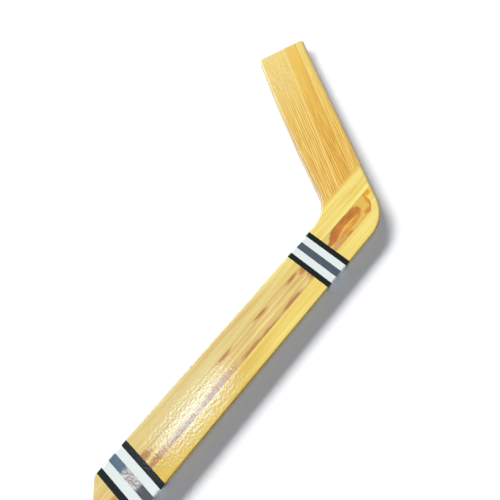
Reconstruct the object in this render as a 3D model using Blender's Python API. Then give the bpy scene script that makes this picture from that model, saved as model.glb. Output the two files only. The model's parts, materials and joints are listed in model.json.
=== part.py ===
# Wooden ice hockey goalie stick, lying on its back face.
# X runs along the shaft towards the heel, Y across it towards the toe, and Z up out of the front face.
# The origin is on the back face, on the centreline of the shaft, at the shoulder of the paddle.
# Metres throughout.

import math

import bmesh
import bpy

# Thickness of the stick and of its plies
THICKNESS = 0.022
FACE_PLY = 0.006
GLUE_LINE = 0.0003

# Rounding along the edges
EDGE_ROUND = 0.003
SOLE_ROUND = 0.0065

# Shaft, from the butt end to its mitre inside the heel
SHAFT_WIDTH = 0.0275
SHAFT_LENGTH = 0.792
BUTT_CORNER = 0.004
MITRE_ANGLE = math.radians(35.0)
MITRE_SETBACK = 0.0155
CORE_LAP = 0.002
CORE_TONGUE = 0.003

# Paddle
PADDLE_LENGTH = 0.5575
TOE_SLAT_WIDTH = 0.0259
BACK_SLAT_WIDTH = 0.0256
SHOULDER_ANGLE = math.radians(45.0)
SHOULDER_CORNER = 0.006

# Heel
HEEL_STEP = 0.011
OUTER_HEEL_RADIUS = 0.076
INNER_HEEL_RADIUS = 0.068

# Blade
BLADE_ANGLE = math.radians(57.6)
BLADE_LENGTH = 0.4095
BLADE_HEIGHT = 0.096
CROWN_FROM_HEEL = 0.308
TOP_BOW_RADIUS = 3.22
TOE_ANGLE = math.radians(11.9)
TOE_CORNER = 0.0065
TOE_THICKNESS = 0.013
BLADE_TONGUE = 0.010
SOLE_BOARD_AT_ROOT = 0.025
SOLE_BOARD_AT_TOE = 0.0185
MIDDLE_BOARD_AT_ROOT = 0.0295
MIDDLE_BOARD_AT_TOE = 0.0245

# Stripe films
FILM = 0.0004
BLACK_STRIPE = 0.009
WHITE_STRIPE = 0.012
SILVER_STRIPE = 0.012
SHOULDER_TO_BANDS = 0.004
BANDS_TO_HEEL = 0.101

# Facets of the round stretches
EDGE_STEPS = 3
FILLET_STEP = math.radians(6.0)
BOW_STEPS = 7

# Places that follow from the sizes
HALF_GLUE = GLUE_LINE / 2
HALF_SHAFT = SHAFT_WIDTH / 2
HALF_CORE = HALF_SHAFT + CORE_LAP
TOE_SIDE = HALF_SHAFT + TOE_SLAT_WIDTH
BACK_SIDE = -HALF_SHAFT - BACK_SLAT_WIDTH
ROOT = TOE_SIDE + HEEL_STEP
NECK_TOE = -TOE_SLAT_WIDTH / math.tan(SHOULDER_ANGLE)
NECK_BACK = -BACK_SLAT_WIDTH / math.tan(SHOULDER_ANGLE)
MITRE_X = PADDLE_LENGTH - BACK_SIDE / math.tan(BLADE_ANGLE) - MITRE_SETBACK
STRIPES = (
    ("black_1", BLACK_STRIPE),
    ("white_1", WHITE_STRIPE),
    ("silver", SILVER_STRIPE),
    ("white_2", WHITE_STRIPE),
    ("black_2", BLACK_STRIPE),
)
BANDS_LENGTH = sum(width for name, width in STRIPES)
SHOULDER_BANDS_X = SHOULDER_TO_BANDS
HEEL_BANDS_X = PADDLE_LENGTH - BANDS_TO_HEEL - BANDS_LENGTH

# Rough sawn boards stand out past the finished outline by this much
WASTE = 0.05
WASTE_LOW_X = -SHAFT_LENGTH - WASTE
WASTE_HIGH_X = PADDLE_LENGTH + BLADE_LENGTH + WASTE
WASTE_LOW_Z = -WASTE
WASTE_HIGH_Z = THICKNESS + WASTE


def blade_point(along, above):
    """Point of the blade: along the sole from the heel corner, and above the sole, square to it."""
    x = PADDLE_LENGTH + along * math.cos(BLADE_ANGLE) - above * math.sin(BLADE_ANGLE)
    y = BACK_SIDE + along * math.sin(BLADE_ANGLE) + above * math.cos(BLADE_ANGLE)
    return x, y


def bow_height(along):
    """Height of the blade's bowed top edge, highest at the crown."""
    return BLADE_HEIGHT - (along - CROWN_FROM_HEEL) ** 2 / (2 * TOP_BOW_RADIUS)


def bow_meets_paddle():
    """Distance along the sole at which the bowed top edge comes down to the paddle's edge."""
    curve = -math.cos(BLADE_ANGLE) / (2 * TOP_BOW_RADIUS)
    slope = math.sin(BLADE_ANGLE)
    rise = blade_point(CROWN_FROM_HEEL, BLADE_HEIGHT)[1] - TOE_SIDE
    return CROWN_FROM_HEEL - 2 * rise / (slope + math.sqrt(slope ** 2 - 4 * curve * rise))


def bow_meets_toe():
    """Distance along the sole at which the bowed top edge meets the slanted toe end."""
    along = BLADE_LENGTH
    for _ in range(8):
        along = BLADE_LENGTH - bow_height(along) * math.tan(TOE_ANGLE)
    return along


def outline_corners():
    """Corners of the stick's outline, counterclockwise: place, fillet radius, rounding of the next edge."""
    inner = bow_meets_paddle()
    inner_run = 1.1 * INNER_HEEL_RADIUS * math.tan(BLADE_ANGLE / 2)
    toe = bow_meets_toe()
    corners = [
        ((-SHAFT_LENGTH, -HALF_SHAFT), BUTT_CORNER, EDGE_ROUND),
        ((NECK_BACK, -HALF_SHAFT), 0.0, EDGE_ROUND),
        ((0.0, BACK_SIDE), SHOULDER_CORNER, EDGE_ROUND),
        ((PADDLE_LENGTH, BACK_SIDE), OUTER_HEEL_RADIUS, SOLE_ROUND),
        (blade_point(BLADE_LENGTH, 0.0), TOE_CORNER, EDGE_ROUND),
        (blade_point(toe, bow_height(toe)), TOE_CORNER, EDGE_ROUND),
    ]
    start = inner + inner_run
    for i in range(BOW_STEPS - 1, -1, -1):
        along = start + (toe - start) * i / BOW_STEPS
        corners.append((blade_point(along, bow_height(along)), 0.0, EDGE_ROUND))
    corners += [
        (blade_point(inner, bow_height(inner)), INNER_HEEL_RADIUS, EDGE_ROUND),
        ((0.0, TOE_SIDE), SHOULDER_CORNER, EDGE_ROUND),
        ((NECK_TOE, HALF_SHAFT), 0.0, EDGE_ROUND),
        ((-SHAFT_LENGTH, HALF_SHAFT), BUTT_CORNER, EDGE_ROUND),
    ]
    return corners


def filleted(corners):
    """Outline points (x, y, rounding), with an arc at each corner that has a fillet radius."""
    points = []
    for i, ((x, y), radius, rounding) in enumerate(corners):
        before = corners[i - 1]
        after = corners[(i + 1) % len(corners)]
        ax, ay = before[0][0] - x, before[0][1] - y
        bx, by = after[0][0] - x, after[0][1] - y
        length_a = math.hypot(ax, ay)
        length_b = math.hypot(bx, by)
        if radius == 0.0:
            points.append((x, y, rounding))
            continue
        ax, ay, bx, by = ax / length_a, ay / length_a, bx / length_b, by / length_b
        turn = math.pi - math.acos(max(-1.0, min(1.0, ax * bx + ay * by)))
        # A fillet leaves room for the one at the other end of each edge
        room_a = length_a * (0.98 if before[1] == 0.0 else 0.49)
        room_b = length_b * (0.98 if after[1] == 0.0 else 0.49)
        run = min(radius * math.tan(turn / 2), room_a, room_b)
        radius = run / math.tan(turn / 2)
        side = math.copysign(1.0, ay * bx - ax * by)
        # The centre lies square to the first tangent point, on the inner side of the corner
        first_x, first_y = x + ax * run, y + ay * run
        centre_x, centre_y = first_x + side * ay * radius, first_y - side * ax * radius
        steps = max(3, round(turn / FILLET_STEP))
        start = math.atan2(first_y - centre_y, first_x - centre_x)
        for k in range(steps + 1):
            angle = start + side * turn * k / steps
            share = k / steps
            edge = before[2] + (rounding - before[2]) * share
            points.append((
                centre_x + radius * math.cos(angle),
                centre_y + radius * math.sin(angle),
                min(edge, 0.9 * radius) if side > 0 else edge,
            ))
    return points


def inset(points, share):
    """The outline drawn in by a share of each point's rounding, square to the edges beside it."""
    result = []
    for i, (x, y, rounding) in enumerate(points):
        px, py, _ = points[i - 1]
        nx, ny, _ = points[(i + 1) % len(points)]
        before = math.hypot(x - px, y - py)
        after = math.hypot(nx - x, ny - y)
        # Left-hand normals of the two edges point into the stick
        ax, ay = -(y - py) / before, (x - px) / before
        bx, by = -(ny - y) / after, (nx - x) / after
        scale = share * rounding / (1 + ax * bx + ay * by)
        result.append((x + (ax + bx) * scale, y + (ay + by) * scale, rounding))
    return result


def edge_angles():
    return [math.pi / 2 * k / EDGE_STEPS for k in range(EDGE_STEPS + 1)]


def linear(hex_colour):
    """Linear red, green, blue and alpha of an sRGB hex colour."""
    channels = [int(hex_colour[i:i + 2], 16) / 255 for i in (0, 2, 4)]
    return [c / 12.92 if c <= 0.04045 else ((c + 0.055) / 1.055) ** 2.4 for c in channels] + [1.0]


def give_material(obj, hex_colour, roughness, metallic=0.0):
    material = bpy.data.materials.new(obj.name)
    material.use_nodes = True
    shader = material.node_tree.nodes["Principled BSDF"]
    shader.inputs["Base Color"].default_value = linear(hex_colour)
    shader.inputs["Roughness"].default_value = roughness
    shader.inputs["Metallic"].default_value = metallic
    material.diffuse_color = linear(hex_colour)
    obj.data.materials.append(material)


def new_object(name, bm):
    mesh = bpy.data.meshes.new(name)
    bm.to_mesh(mesh)
    bm.free()
    mesh.shade_smooth()
    mesh.set_sharp_from_angle(angle=math.radians(35.0))
    obj = bpy.data.objects.new(name, mesh)
    bpy.context.scene.collection.objects.link(obj)
    return obj


def add_prism(bm, outline, low, high):
    """Add a closed prism over a counterclockwise outline to a mesh."""
    bottom = [bm.verts.new((x, y, low)) for x, y in outline]
    top = [bm.verts.new((x, y, high)) for x, y in outline]
    bm.faces.new(reversed(bottom))
    bm.faces.new(top)
    for i in range(len(outline)):
        j = (i + 1) % len(outline)
        bm.faces.new((bottom[i], bottom[j], top[j], top[i]))


def add_box(bm, x_range, y_range, z_range):
    outline = [
        (x_range[0], y_range[0]),
        (x_range[1], y_range[0]),
        (x_range[1], y_range[1]),
        (x_range[0], y_range[1]),
    ]
    add_prism(bm, outline, *z_range)


def as_cutter(obj):
    obj.hide_render = True
    obj.display_type = "WIRE"
    return obj


def trim(obj, other, operation):
    modifier = obj.modifiers.new(operation.lower(), "BOOLEAN")
    modifier.operation = operation
    modifier.object = other
    modifier.solver = "EXACT"


def paddle_section(drawn_in):
    """Rounded section (y, z) of the paddle, drawn in all round by a distance."""
    radius = EDGE_ROUND - drawn_in
    corners = (
        (TOE_SIDE - EDGE_ROUND, THICKNESS - EDGE_ROUND, 0.0),
        (BACK_SIDE + EDGE_ROUND, THICKNESS - EDGE_ROUND, math.pi / 2),
        (BACK_SIDE + EDGE_ROUND, EDGE_ROUND, math.pi),
        (TOE_SIDE - EDGE_ROUND, EDGE_ROUND, 3 * math.pi / 2),
    )
    section = []
    for y, z, start in corners:
        for angle in edge_angles():
            section.append((y + radius * math.cos(start + angle), z + radius * math.sin(start + angle)))
    return section


def add_sleeve(bm, outer, inner, x_low, x_high):
    """Add a closed sleeve along X between two loops of (y, z) that have as many points."""
    rings = []
    for x, loop in ((x_low, outer), (x_high, outer), (x_high, inner), (x_low, inner)):
        rings.append([bm.verts.new((x, y, z)) for y, z in loop])
    for k in range(4):
        a, b = rings[k], rings[(k + 1) % 4]
        for i in range(len(outer)):
            j = (i + 1) % len(outer)
            bm.faces.new((a[i], b[i], b[j], a[j]))
    bmesh.ops.recalc_face_normals(bm, faces=bm.faces)


def band_grooves():
    """The shallow seats of both sets of stripe films, as two sleeves round the paddle."""
    bm = bmesh.new()
    middle = THICKNESS / 2
    seat = paddle_section(FILM + GLUE_LINE)
    outside = [(2 * y, middle + 2 * (z - middle)) for y, z in seat]
    for x in (SHOULDER_BANDS_X, HEEL_BANDS_X):
        add_sleeve(bm, outside, seat, x - HALF_GLUE, x + BANDS_LENGTH + HALF_GLUE)
    return as_cutter(new_object("band_grooves", bm))


def finished_shape():
    """The whole milled stick as one solid, which every board is trimmed to."""
    points = filleted(outline_corners())
    levels = [(1 - math.sin(a), 1 - math.cos(a), False) for a in edge_angles()]
    levels += [(1 - math.sin(a), 1 - math.cos(a), True) for a in reversed(edge_angles())]
    bm = bmesh.new()
    rings = []
    for share, height, is_top in levels:
        ring = []
        for x, y, rounding in inset(points, share):
            z = THICKNESS - rounding * height if is_top else rounding * height
            ring.append(bm.verts.new((x, y, z)))
        rings.append(ring)
    for a, b in zip(rings, rings[1:]):
        for i in range(len(points)):
            j = (i + 1) % len(points)
            bm.faces.new((a[i], a[j], b[j], b[i]))
    bm.faces.new(reversed(rings[0]))
    bm.faces.new(rings[-1])
    # The blade thins evenly from its root to the toe, so both faces have a crease at the root
    everything = bm.verts[:] + bm.edges[:] + bm.faces[:]
    bmesh.ops.bisect_plane(bm, geom=everything, plane_co=(0, ROOT, 0), plane_no=(0, 1, 0), dist=1e-7)
    toe_y = max(y for x, y, rounding in points)
    for vert in bm.verts:
        share = max(0.0, (vert.co.y - ROOT) / (toe_y - ROOT))
        scale = 1 - (1 - TOE_THICKNESS / THICKNESS) * share
        vert.co.z = THICKNESS / 2 + (vert.co.z - THICKNESS / 2) * scale
    return as_cutter(new_object("finished_shape", bm))


def board(name, outline, z_range, shape, grooves=None):
    """A board sawn to an outline and a height range, trimmed to the finished shape and grooved."""
    bm = bmesh.new()
    add_prism(bm, outline, *z_range)
    obj = new_object(name, bm)
    trim(obj, shape, "INTERSECT")
    if grooves:
        trim(obj, grooves, "DIFFERENCE")
    return obj


def rectangle(y_low, y_high):
    return [
        (WASTE_LOW_X, y_low),
        (WASTE_HIGH_X, y_low),
        (WASTE_HIGH_X, y_high),
        (WASTE_LOW_X, y_high),
    ]


def mitre_x(y, beyond):
    """X of the shaft's mitre at a place across it, moved on along the shaft."""
    return MITRE_X + y / math.tan(MITRE_ANGLE) + beyond


FRONT_PLY_Z = (THICKNESS - FACE_PLY + HALF_GLUE, WASTE_HIGH_Z)
CORE_PLY_Z = (FACE_PLY + HALF_GLUE, THICKNESS - FACE_PLY - HALF_GLUE)
BACK_PLY_Z = (WASTE_LOW_Z, FACE_PLY - HALF_GLUE)
MITRE_GAP = HALF_GLUE / math.sin(MITRE_ANGLE)


def shaft(shape, grooves):
    """Three plies; the core ply is lapped into the slats and tongued into the heel block."""
    edge = HALF_SHAFT - HALF_GLUE
    face_outline = [
        (WASTE_LOW_X, -WASTE),
        (NECK_BACK, -WASTE),
        (NECK_BACK, -edge),
        (mitre_x(-edge, -MITRE_GAP), -edge),
        (mitre_x(edge, -MITRE_GAP), edge),
        (NECK_TOE, edge),
        (NECK_TOE, WASTE),
        (WASTE_LOW_X, WASTE),
    ]
    lapped = HALF_CORE - HALF_GLUE
    core_outline = [
        (WASTE_LOW_X, -lapped),
        (mitre_x(-lapped, CORE_TONGUE - MITRE_GAP), -lapped),
        (mitre_x(lapped, CORE_TONGUE - MITRE_GAP), lapped),
        (WASTE_LOW_X, lapped),
    ]
    front = board("shaft_front_ply", face_outline, FRONT_PLY_Z, shape, grooves)
    core = board("shaft_core_ply", core_outline, CORE_PLY_Z, shape)
    back = board("shaft_back_ply", face_outline, BACK_PLY_Z, shape, grooves)
    give_material(front, "DDBB78", 0.35)
    give_material(core, "D8C294", 0.5)
    give_material(back, "DDBB78", 0.35)


def slats(shape, grooves):
    """The paddle's two side boards, three plies each."""
    sides = (
        ("toe_slat", (HALF_SHAFT + HALF_GLUE, ROOT - HALF_GLUE),
         (HALF_CORE + HALF_GLUE, ROOT - BLADE_TONGUE - HALF_GLUE)),
        ("back_slat", (BACK_SIDE - WASTE, -HALF_SHAFT - HALF_GLUE),
         (BACK_SIDE - WASTE, -HALF_CORE - HALF_GLUE)),
    )
    for name, face_range, core_range in sides:
        plies = (
            ("front_ply", face_range, FRONT_PLY_Z, "EBD27F"),
            ("core_ply", core_range, CORE_PLY_Z, "D8C294"),
            ("back_ply", face_range, BACK_PLY_Z, "EBD27F"),
        )
        for ply, y_range, z_range, colour in plies:
            obj = board(f"{name}_{ply}", rectangle(*y_range), z_range, shape, grooves)
            give_material(obj, colour, 0.35)


def heel_block(shape):
    """The block past the shaft's mitre: slotted for the core ply's tongue and lapped as it is."""
    lapped = HALF_CORE - HALF_GLUE
    outline = [
        (mitre_x(-lapped, MITRE_GAP), -lapped),
        (WASTE_HIGH_X, -lapped),
        (WASTE_HIGH_X, lapped),
        (mitre_x(lapped, MITRE_GAP), lapped),
    ]
    block = board("heel_block", outline, (WASTE_LOW_Z, WASTE_HIGH_Z), shape)

    rebates = bmesh.new()
    edge = HALF_SHAFT - HALF_GLUE
    for y_range in ((edge, HALF_CORE + WASTE), (-HALF_CORE - WASTE, -edge)):
        for z_range in ((WASTE_LOW_Z - WASTE, FACE_PLY + HALF_GLUE),
                        (THICKNESS - FACE_PLY - HALF_GLUE, WASTE_HIGH_Z + WASTE)):
            add_box(rebates, (0.0, WASTE_HIGH_X + WASTE), y_range, z_range)
    trim(block, as_cutter(new_object("heel_block_rebates", rebates)), "DIFFERENCE")

    slot = bmesh.new()
    outline = [
        (0.0, -HALF_CORE - WASTE),
        (mitre_x(-HALF_CORE - WASTE, CORE_TONGUE + MITRE_GAP), -HALF_CORE - WASTE),
        (mitre_x(HALF_CORE + WASTE, CORE_TONGUE + MITRE_GAP), HALF_CORE + WASTE),
        (0.0, HALF_CORE + WASTE),
    ]
    add_prism(slot, outline, FACE_PLY - HALF_GLUE, THICKNESS - FACE_PLY + HALF_GLUE)
    trim(block, as_cutter(new_object("heel_block_slot", slot)), "DIFFERENCE")
    give_material(block, "EFD27A", 0.35)


def seam_point(at_root, at_toe, y):
    """Point of a blade seam at a height across the stick; the seam runs straight from root to toe."""
    root_along = (ROOT - BACK_SIDE) / math.sin(BLADE_ANGLE)
    slope = (at_toe - at_root) / (BLADE_LENGTH - root_along)
    above_heel = at_root - slope * root_along
    along = (y - BACK_SIDE - above_heel * math.cos(BLADE_ANGLE)) / (
        math.sin(BLADE_ANGLE) + slope * math.cos(BLADE_ANGLE))
    return blade_point(along, above_heel + slope * along)


def blade(shape):
    """Three boards edge to edge, each with a tongue at its root for the slot in the toe-side slat."""
    shoulders = bmesh.new()
    y_range = (ROOT - BLADE_TONGUE - WASTE, ROOT + HALF_GLUE)
    x_range = (0.0, WASTE_HIGH_X + WASTE)
    add_box(shoulders, x_range, y_range, (WASTE_LOW_Z - WASTE, FACE_PLY + HALF_GLUE))
    add_box(shoulders, x_range, y_range, (THICKNESS - FACE_PLY - HALF_GLUE, WASTE_HIGH_Z + WASTE))
    shoulders = as_cutter(new_object("blade_shoulders", shoulders))

    sole_seam = (SOLE_BOARD_AT_ROOT, SOLE_BOARD_AT_TOE)
    top_seam = (SOLE_BOARD_AT_ROOT + MIDDLE_BOARD_AT_ROOT, SOLE_BOARD_AT_TOE + MIDDLE_BOARD_AT_TOE)
    below = (-WASTE, -WASTE)
    above = (BLADE_HEIGHT + WASTE, BLADE_HEIGHT + WASTE)
    tongue_y = ROOT - BLADE_TONGUE + HALF_GLUE
    toe_y = blade_point(BLADE_LENGTH, BLADE_HEIGHT)[1] + WASTE
    boards = (
        ("blade_sole_board", below, sole_seam, "E4BD66"),
        ("blade_middle_board", sole_seam, top_seam, "E2B45E"),
        ("blade_top_board", top_seam, above, "E6C078"),
    )
    for name, low, high, colour in boards:
        low = [above_sole + HALF_GLUE for above_sole in low]
        high = [above_sole - HALF_GLUE for above_sole in high]
        outline = [
            seam_point(*low, tongue_y),
            seam_point(*low, toe_y),
            seam_point(*high, toe_y),
            seam_point(*high, tongue_y),
        ]
        obj = board(name, outline, (WASTE_LOW_Z, WASTE_HIGH_Z), shape)
        trim(obj, shoulders, "DIFFERENCE")
        give_material(obj, colour, 0.35)


def stripe_films():
    """Two sets of five films, each wrapped right round the paddle in its seat."""
    looks = {"black": ("262B2D", 0.4, 0.0), "white": ("EBF1F0", 0.4, 0.0), "silver": ("8C9CA8", 0.25, 0.8)}
    for set_name, x in (("shoulder_band", SHOULDER_BANDS_X), ("heel_band", HEEL_BANDS_X)):
        for name, width in STRIPES:
            bm = bmesh.new()
            add_sleeve(bm, paddle_section(0.0), paddle_section(FILM), x + HALF_GLUE, x + width - HALF_GLUE)
            film = new_object(f"{set_name}_{name}", bm)
            give_material(film, *looks[name.split("_")[0]])
            x += width


for old in list(bpy.data.objects):
    bpy.data.objects.remove(old)
STICK = finished_shape()
GROOVES = band_grooves()
shaft(STICK, GROOVES)
slats(STICK, GROOVES)
heel_block(STICK)
blade(STICK)
stripe_films()
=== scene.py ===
# Wooden ice hockey goalie stick, lying on its back face on a white studio floor. X runs along the
# shaft to the heel, Y across it towards the toe, and Z up out of the front face, in metres.

import json
import math

import bpy
import numpy as np
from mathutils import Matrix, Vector

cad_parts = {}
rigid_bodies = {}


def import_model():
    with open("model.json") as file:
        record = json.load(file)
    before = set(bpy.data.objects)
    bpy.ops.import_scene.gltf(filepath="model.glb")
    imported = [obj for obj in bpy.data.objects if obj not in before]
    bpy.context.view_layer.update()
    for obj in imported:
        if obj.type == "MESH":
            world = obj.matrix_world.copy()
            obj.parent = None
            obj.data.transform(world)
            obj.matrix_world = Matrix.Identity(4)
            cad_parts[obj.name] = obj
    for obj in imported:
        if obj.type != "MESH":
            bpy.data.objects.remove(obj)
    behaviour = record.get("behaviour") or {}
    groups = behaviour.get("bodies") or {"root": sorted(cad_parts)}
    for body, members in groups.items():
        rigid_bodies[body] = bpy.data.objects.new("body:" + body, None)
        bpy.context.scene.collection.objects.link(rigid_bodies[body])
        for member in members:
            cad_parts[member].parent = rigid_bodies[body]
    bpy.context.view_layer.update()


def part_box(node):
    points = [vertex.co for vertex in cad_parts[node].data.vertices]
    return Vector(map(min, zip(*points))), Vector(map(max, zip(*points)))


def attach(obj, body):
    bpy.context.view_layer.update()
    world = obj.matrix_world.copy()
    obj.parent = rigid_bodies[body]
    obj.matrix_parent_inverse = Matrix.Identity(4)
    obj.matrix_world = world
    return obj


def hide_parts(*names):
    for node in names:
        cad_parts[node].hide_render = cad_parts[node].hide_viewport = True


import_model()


# The milled stick: the boards are glued up, sawn to one outline, thinned towards the toe and rounded
# over along every edge with a router and a sander. Each board below is cut out of this one surface.
PADDLE_LENGTH = 0.5575
BUTT_CORNER = 0.004
SHOULDER_ANGLE = math.radians(45.0)
SHOULDER_CORNER = 0.006
OUTER_HEEL_RADIUS = 0.076
INNER_HEEL_RADIUS = 0.068
INNER_HEEL_ROOM = 1.1
BLADE_ANGLE = math.radians(57.6)
BLADE_LENGTH = 0.4095
BLADE_HEIGHT = 0.096
CROWN_FROM_HEEL = 0.308
TOP_BOW_RADIUS = 3.22
TOE_ANGLE = math.radians(11.9)
TOE_CORNER = 0.0065
TOE_CORNER_ROUND = 0.9 * TOE_CORNER
TOE_THICKNESS = 0.013
EDGE_ROUND = 0.0025
SOLE_ROUND = 0.0088
SOLE_ROUND_FROM_TOE = 0.03
SOLE_POWER = 1.65
SOLE_STEEPNESS = 0.92
FILM_THICKNESS = 0.0004
FILM_GAP = 0.00006

# How finely arcs, rounded edges and the blade's bow are divided
ARC_STEP = math.radians(1.5)
EDGE_STEPS = 10
BOW_STEPS = 48
MEETING_STEPS = 30
SHARP_ANGLE = math.radians(30.0)
FLAT_MARGIN = 0.0003
# How far a saw reaches past the stick
WASTE = 0.05

butt_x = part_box("shaft_front_ply")[0][0]
half_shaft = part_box("shaft_front_ply")[1][1]
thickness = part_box("shaft_front_ply")[1][2]
back_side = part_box("heel_band_silver")[0][1]
toe_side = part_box("heel_band_silver")[1][1]
root_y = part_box("toe_slat_front_ply")[1][1]
neck_back_x = -(-half_shaft - back_side) / math.tan(SHOULDER_ANGLE)
neck_toe_x = -(toe_side - half_shaft) / math.tan(SHOULDER_ANGLE)


def blade_point(along, above):
    """Points (x, y) of the blade: along the sole from the heel's corner, and above it, square to it."""
    x = PADDLE_LENGTH + along * math.cos(BLADE_ANGLE) - above * math.sin(BLADE_ANGLE)
    y = back_side + along * math.sin(BLADE_ANGLE) + above * math.cos(BLADE_ANGLE)
    return np.stack([x, y], axis=-1)


def bow_height(along):
    """Height of the blade's top edge: a shallow parabola, highest at the crown."""
    return BLADE_HEIGHT - (along - CROWN_FROM_HEEL) ** 2 / (2 * TOP_BOW_RADIUS)


def fillet(before, corner, after, radius):
    """Arc that touches both edges of a corner, its centre on the line that halves the corner. Seen from
    the centre, each point is the first and the last weighted by the sines of the turn to go and gone."""
    a = (before - corner) / np.linalg.norm(before - corner)
    b = (after - corner) / np.linalg.norm(after - corner)
    half = math.acos(a @ b) / 2
    centre = corner + (a + b) / np.linalg.norm(a + b) * radius / math.sin(half)
    first = corner + a * radius / math.tan(half) - centre
    last = corner + b * radius / math.tan(half) - centre
    turn = math.pi - 2 * half
    share = np.linspace(0, 1, max(4, math.ceil(turn / ARC_STEP)) + 1)[:, None]
    return centre + (np.sin((1 - share) * turn) * first + np.sin(share * turn) * last) / math.sin(turn)


def stick_outline():
    """Outline seen from the front, counterclockwise, and the rounding of the edge at each point. The
    bowed top edge is followed in steps to where it meets the paddle's side and the slanted toe."""
    inner = CROWN_FROM_HEEL
    for _ in range(MEETING_STEPS):
        drop = (blade_point(inner, bow_height(inner))[1] - toe_side) / math.sin(BLADE_ANGLE)
        inner -= drop
    toe = BLADE_LENGTH
    for _ in range(MEETING_STEPS):
        toe = BLADE_LENGTH - bow_height(toe) * math.tan(TOE_ANGLE)
    inner_run = INNER_HEEL_ROOM * INNER_HEEL_RADIUS * math.tan(BLADE_ANGLE / 2)
    bow = np.linspace(toe, inner + inner_run, BOW_STEPS)
    bow = blade_point(bow, bow_height(bow))
    butt_back = np.array([butt_x, -half_shaft])
    butt_toe = np.array([butt_x, half_shaft])
    neck_back = np.array([neck_back_x, -half_shaft])
    neck_toe = np.array([neck_toe_x, half_shaft])
    shoulder_back = np.array([0.0, back_side])
    shoulder_toe = np.array([0.0, toe_side])
    heel = np.array([PADDLE_LENGTH, back_side])
    sole_end = blade_point(BLADE_LENGTH - SOLE_ROUND_FROM_TOE, 0.0)
    sole_toe = blade_point(BLADE_LENGTH, 0.0)
    inner_heel = blade_point(inner, bow_height(inner))
    stretches = (
        (fillet(butt_toe, butt_back, neck_back, BUTT_CORNER), EDGE_ROUND, EDGE_ROUND),
        (neck_back[None], EDGE_ROUND, EDGE_ROUND),
        (fillet(neck_back, shoulder_back, heel, SHOULDER_CORNER), EDGE_ROUND, EDGE_ROUND),
        (fillet(shoulder_back, heel, sole_toe, OUTER_HEEL_RADIUS), EDGE_ROUND, SOLE_ROUND),
        (sole_end[None], SOLE_ROUND, SOLE_ROUND),
        (fillet(heel, sole_toe, bow[0], TOE_CORNER), TOE_CORNER_ROUND, EDGE_ROUND),
        (fillet(sole_toe, bow[0], bow[1], TOE_CORNER), EDGE_ROUND, EDGE_ROUND),
        (bow[2:], EDGE_ROUND, EDGE_ROUND),
        (fillet(bow[-1], inner_heel, shoulder_toe, INNER_HEEL_RADIUS), EDGE_ROUND, EDGE_ROUND),
        (fillet(inner_heel, shoulder_toe, neck_toe, SHOULDER_CORNER), EDGE_ROUND, EDGE_ROUND),
        (neck_toe[None], EDGE_ROUND, EDGE_ROUND),
        (fillet(neck_toe, butt_toe, butt_back, BUTT_CORNER), EDGE_ROUND, EDGE_ROUND),
    )
    points = np.concatenate([arc for arc, start, end in stretches])
    rounding = np.concatenate([np.linspace(start, end, len(arc)) for arc, start, end in stretches])
    return points, rounding


def new_mesh(name, points, faces):
    """Mesh of an array of points (x, y, z) and faces, each a list of places in that array."""
    mesh = bpy.data.meshes.new(name)
    mesh.from_pydata(points.tolist(), [], faces)
    mesh.update()
    return mesh


def grid_faces(rows, columns):
    """Quads of a grid of rows whose columns close into a ring."""
    row, column = np.meshgrid(np.arange(rows - 1), np.arange(columns), indexing="ij")
    after = (column + 1) % columns
    quads = [row * columns + column, row * columns + after, (row + 1) * columns + after,
             (row + 1) * columns + column]
    return np.stack(quads, axis=-1).reshape(-1, 4).tolist()


def stick_mesh():
    """Stick before its blade is thinned, on a grid of place along the outline by angle round the edge.
    An edge is a quarter circle, its sine and cosine raised to a power that flattens it on the sole,
    where it also climbs a little less than it is drawn in."""
    outline, rounding = stick_outline()
    forward = np.roll(outline, -1, axis=0) - outline
    forward /= np.linalg.norm(forward, axis=1, keepdims=True)
    square = np.stack([-forward[:, 1], forward[:, 0]], axis=1)
    before = np.roll(square, 1, axis=0)
    inward = (before + square) / (1 + (before * square).sum(1, keepdims=True))
    turn = np.linspace(0, math.pi / 2, EDGE_STEPS + 1)[:, None]
    power = np.interp(rounding, (EDGE_ROUND, SOLE_ROUND), (1.0, SOLE_POWER))
    steepness = np.interp(rounding, (EDGE_ROUND, SOLE_ROUND), (1.0, SOLE_STEEPNESS))
    drawn_in = (1 - np.sin(turn) ** power) * rounding
    climbed = (1 - np.cos(turn) ** power) * rounding * steepness
    drawn_in = np.concatenate([drawn_in, drawn_in[::-1]])
    height = np.concatenate([climbed, thickness - climbed[::-1]])
    # One more ring on each flat face keeps the shading of the flats flat
    drawn_in = np.concatenate([drawn_in[:1] + FLAT_MARGIN, drawn_in, drawn_in[-1:] + FLAT_MARGIN])
    height = np.concatenate([height[:1], height, height[-1:]])
    plan = outline + drawn_in[..., None] * inward
    points = np.concatenate([plan, height[..., None]], axis=-1)
    rows, columns = height.shape
    faces = grid_faces(rows, columns)
    faces.append(list(range(columns))[::-1])
    faces.append(list(range((rows - 1) * columns, rows * columns)))
    return new_mesh("milled_stick", points.reshape(-1, 3), faces)


def prism(outline, low, high):
    """Points and faces of an upright prism on a counterclockwise outline."""
    outline = np.asarray(outline, float)
    count = len(outline)
    points = np.concatenate([
        np.column_stack([outline, np.full(count, low)]),
        np.column_stack([outline, np.full(count, high)]),
    ])
    faces = grid_faces(2, count)
    faces.append(list(range(count))[::-1])
    faces.append(list(range(count, 2 * count)))
    return points, faces


def cutter(name, *solids):
    """Hidden object that holds one or more closed solids, each given as points and faces."""
    points = np.empty((0, 3))
    faces = []
    for solid_points, solid_faces in solids:
        faces += [(np.array(face) + len(points)).tolist() for face in solid_faces]
        points = np.concatenate([points, solid_points])
    obj = bpy.data.objects.new(name, new_mesh(name, points, faces))
    bpy.context.scene.collection.objects.link(obj)
    return obj


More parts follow.
